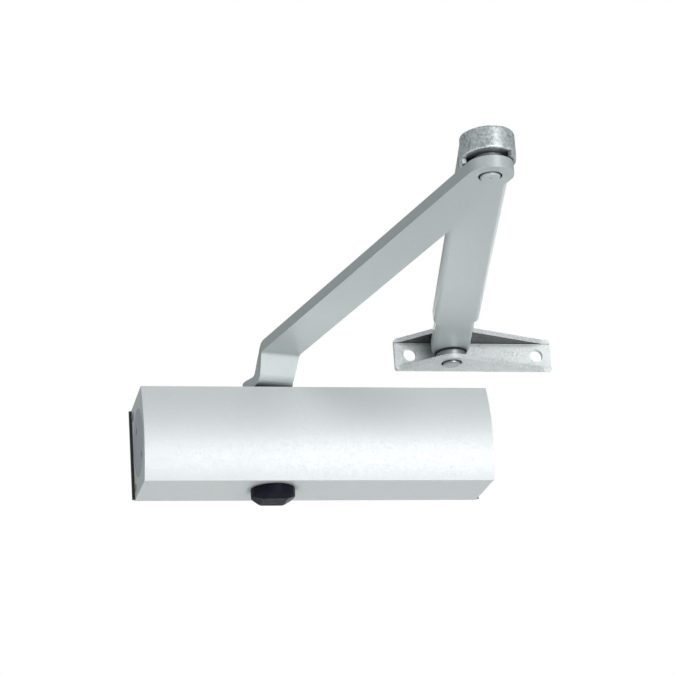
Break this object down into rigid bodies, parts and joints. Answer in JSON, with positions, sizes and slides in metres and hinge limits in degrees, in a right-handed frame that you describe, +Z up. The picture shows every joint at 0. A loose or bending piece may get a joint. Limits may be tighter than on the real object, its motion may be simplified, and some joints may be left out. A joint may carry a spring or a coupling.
{
  "type": "door closer",
  "caption": "Surface-mounted overhead door closer: rack-and-pinion body with a rounded front, folding link arm with adjustable forearm, and a frame bracket.",
  "frame": {"origin": "centre of the back face of the mounting plate, the plane of the door leaf", "axes": "+X along the body towards its spring end, +Y into the door, +Z up; at rest the door is shut and the arm is folded as on a shut door"},
  "size_m": [0.2294, 0.276, 0.0982],
  "materials": {
    "painted": "satin silver paint",
    "plated": "zinc-plated sheet steel",
    "arm_paint": "satin silver paint",
    "cast": "galvanised casting",
    "plug": "turned steel",
    "steel": "turned steel",
    "dark_steel": "blackened steel",
    "spring_steel": "oiled spring steel",
    "bronze": "bearing bronze",
    "black_rubber": "matt",
    "cap_plastic": "bluish black, fine grain",
    "dark_plastic": "matt"
  },
  "bodies": {
    "body": {"mounting_plate": "dark_steel", "housing": "painted", "left_end_plug": "plug", "right_end_plug": "plug", "left_plug_ring": "black_rubber", "right_plug_ring": "black_rubber", "clamp_screws": "dark_steel", "upper_bearing": "bronze", "lower_bearing": "bronze", "upper_seal": "black_rubber", "lower_seal": "black_rubber", "upper_lock_ring": "steel", "lower_lock_ring": "steel", "closing_valve_ring": "black_rubber", "latching_valve_ring": "black_rubber"},
    "closing_screw": {"closing_valve": "steel"},
    "latching_screw": {"latching_valve": "steel"},
    "piston": {"piston": "steel", "piston_seal": "black_rubber", "check_ball": "steel", "check_retainer": "bronze", "spring_cup": "steel", "main_spring": "spring_steel"},
    "arm": {"spindle_pinion": "dark_steel", "spindle_cap": "cap_plastic", "main_arm": "arm_paint", "arm_screw": "steel", "arm_washer": "steel", "elbow_stud": "arm_paint", "elbow_clip": "dark_steel"},
    "forearm_head": {"forearm_head": "cast", "elbow_cap": "cast", "clamp_bolt": "steel", "clamp_washer": "steel"},
    "forearm": {"forearm_channel": "arm_paint", "shoe_bush": "steel", "shoe_washer": "dark_plastic"},
    "bracket": {"shoe_bracket": "plated", "shoe_pin": "steel"}
  },
  "joints": [
    {"name": "spindle_turn", "type": "hinge", "parent": "body", "child": "arm", "pos_m": [-0.0224, -0.02125, 0], "axis": [0, 0, 1], "range_deg": [0, 175], "stiffness_Nm_per_rad": 3, "springref_deg": -45.84},
    {"name": "piston_slide", "type": "slide", "parent": "body", "child": "piston", "axis": [1, 0, 0], "range_m": [0, 0.02484], "deforming": ["main_spring"]},
    {"name": "elbow", "type": "hinge", "parent": "arm", "child": "forearm_head", "pos_m": [0.03349, -0.2639, 0.0525], "axis": [0, 0, 1], "range_deg": [-8, 150]},
    {"name": "forearm_length", "type": "slide", "parent": "forearm_head", "child": "forearm", "axis": [0.1805, 0.9836, 0], "range_m": [0, 0.04]},
    {"name": "bracket_turn", "type": "hinge", "parent": "forearm", "child": "bracket", "pos_m": [0.07916, -0.01505, 0.0558], "axis": [0, 0, 1], "range_deg": [-80, 80]},
    {"name": "closing_speed", "type": "hinge", "parent": "body", "child": "closing_screw", "pos_m": [0.078, -0.033, 0.0195], "axis": [1, 0, 0], "range_deg": [-180, 360]},
    {"name": "latching_speed", "type": "hinge", "parent": "body", "child": "latching_screw", "pos_m": [0.078, -0.033, -0.0195], "axis": [1, 0, 0], "range_deg": [-180, 360]}
  ],
  "couplings": [
    {"joint": "piston_slide", "follows": "spindle_turn", "m_per_rad": 0.008125}
  ]
}
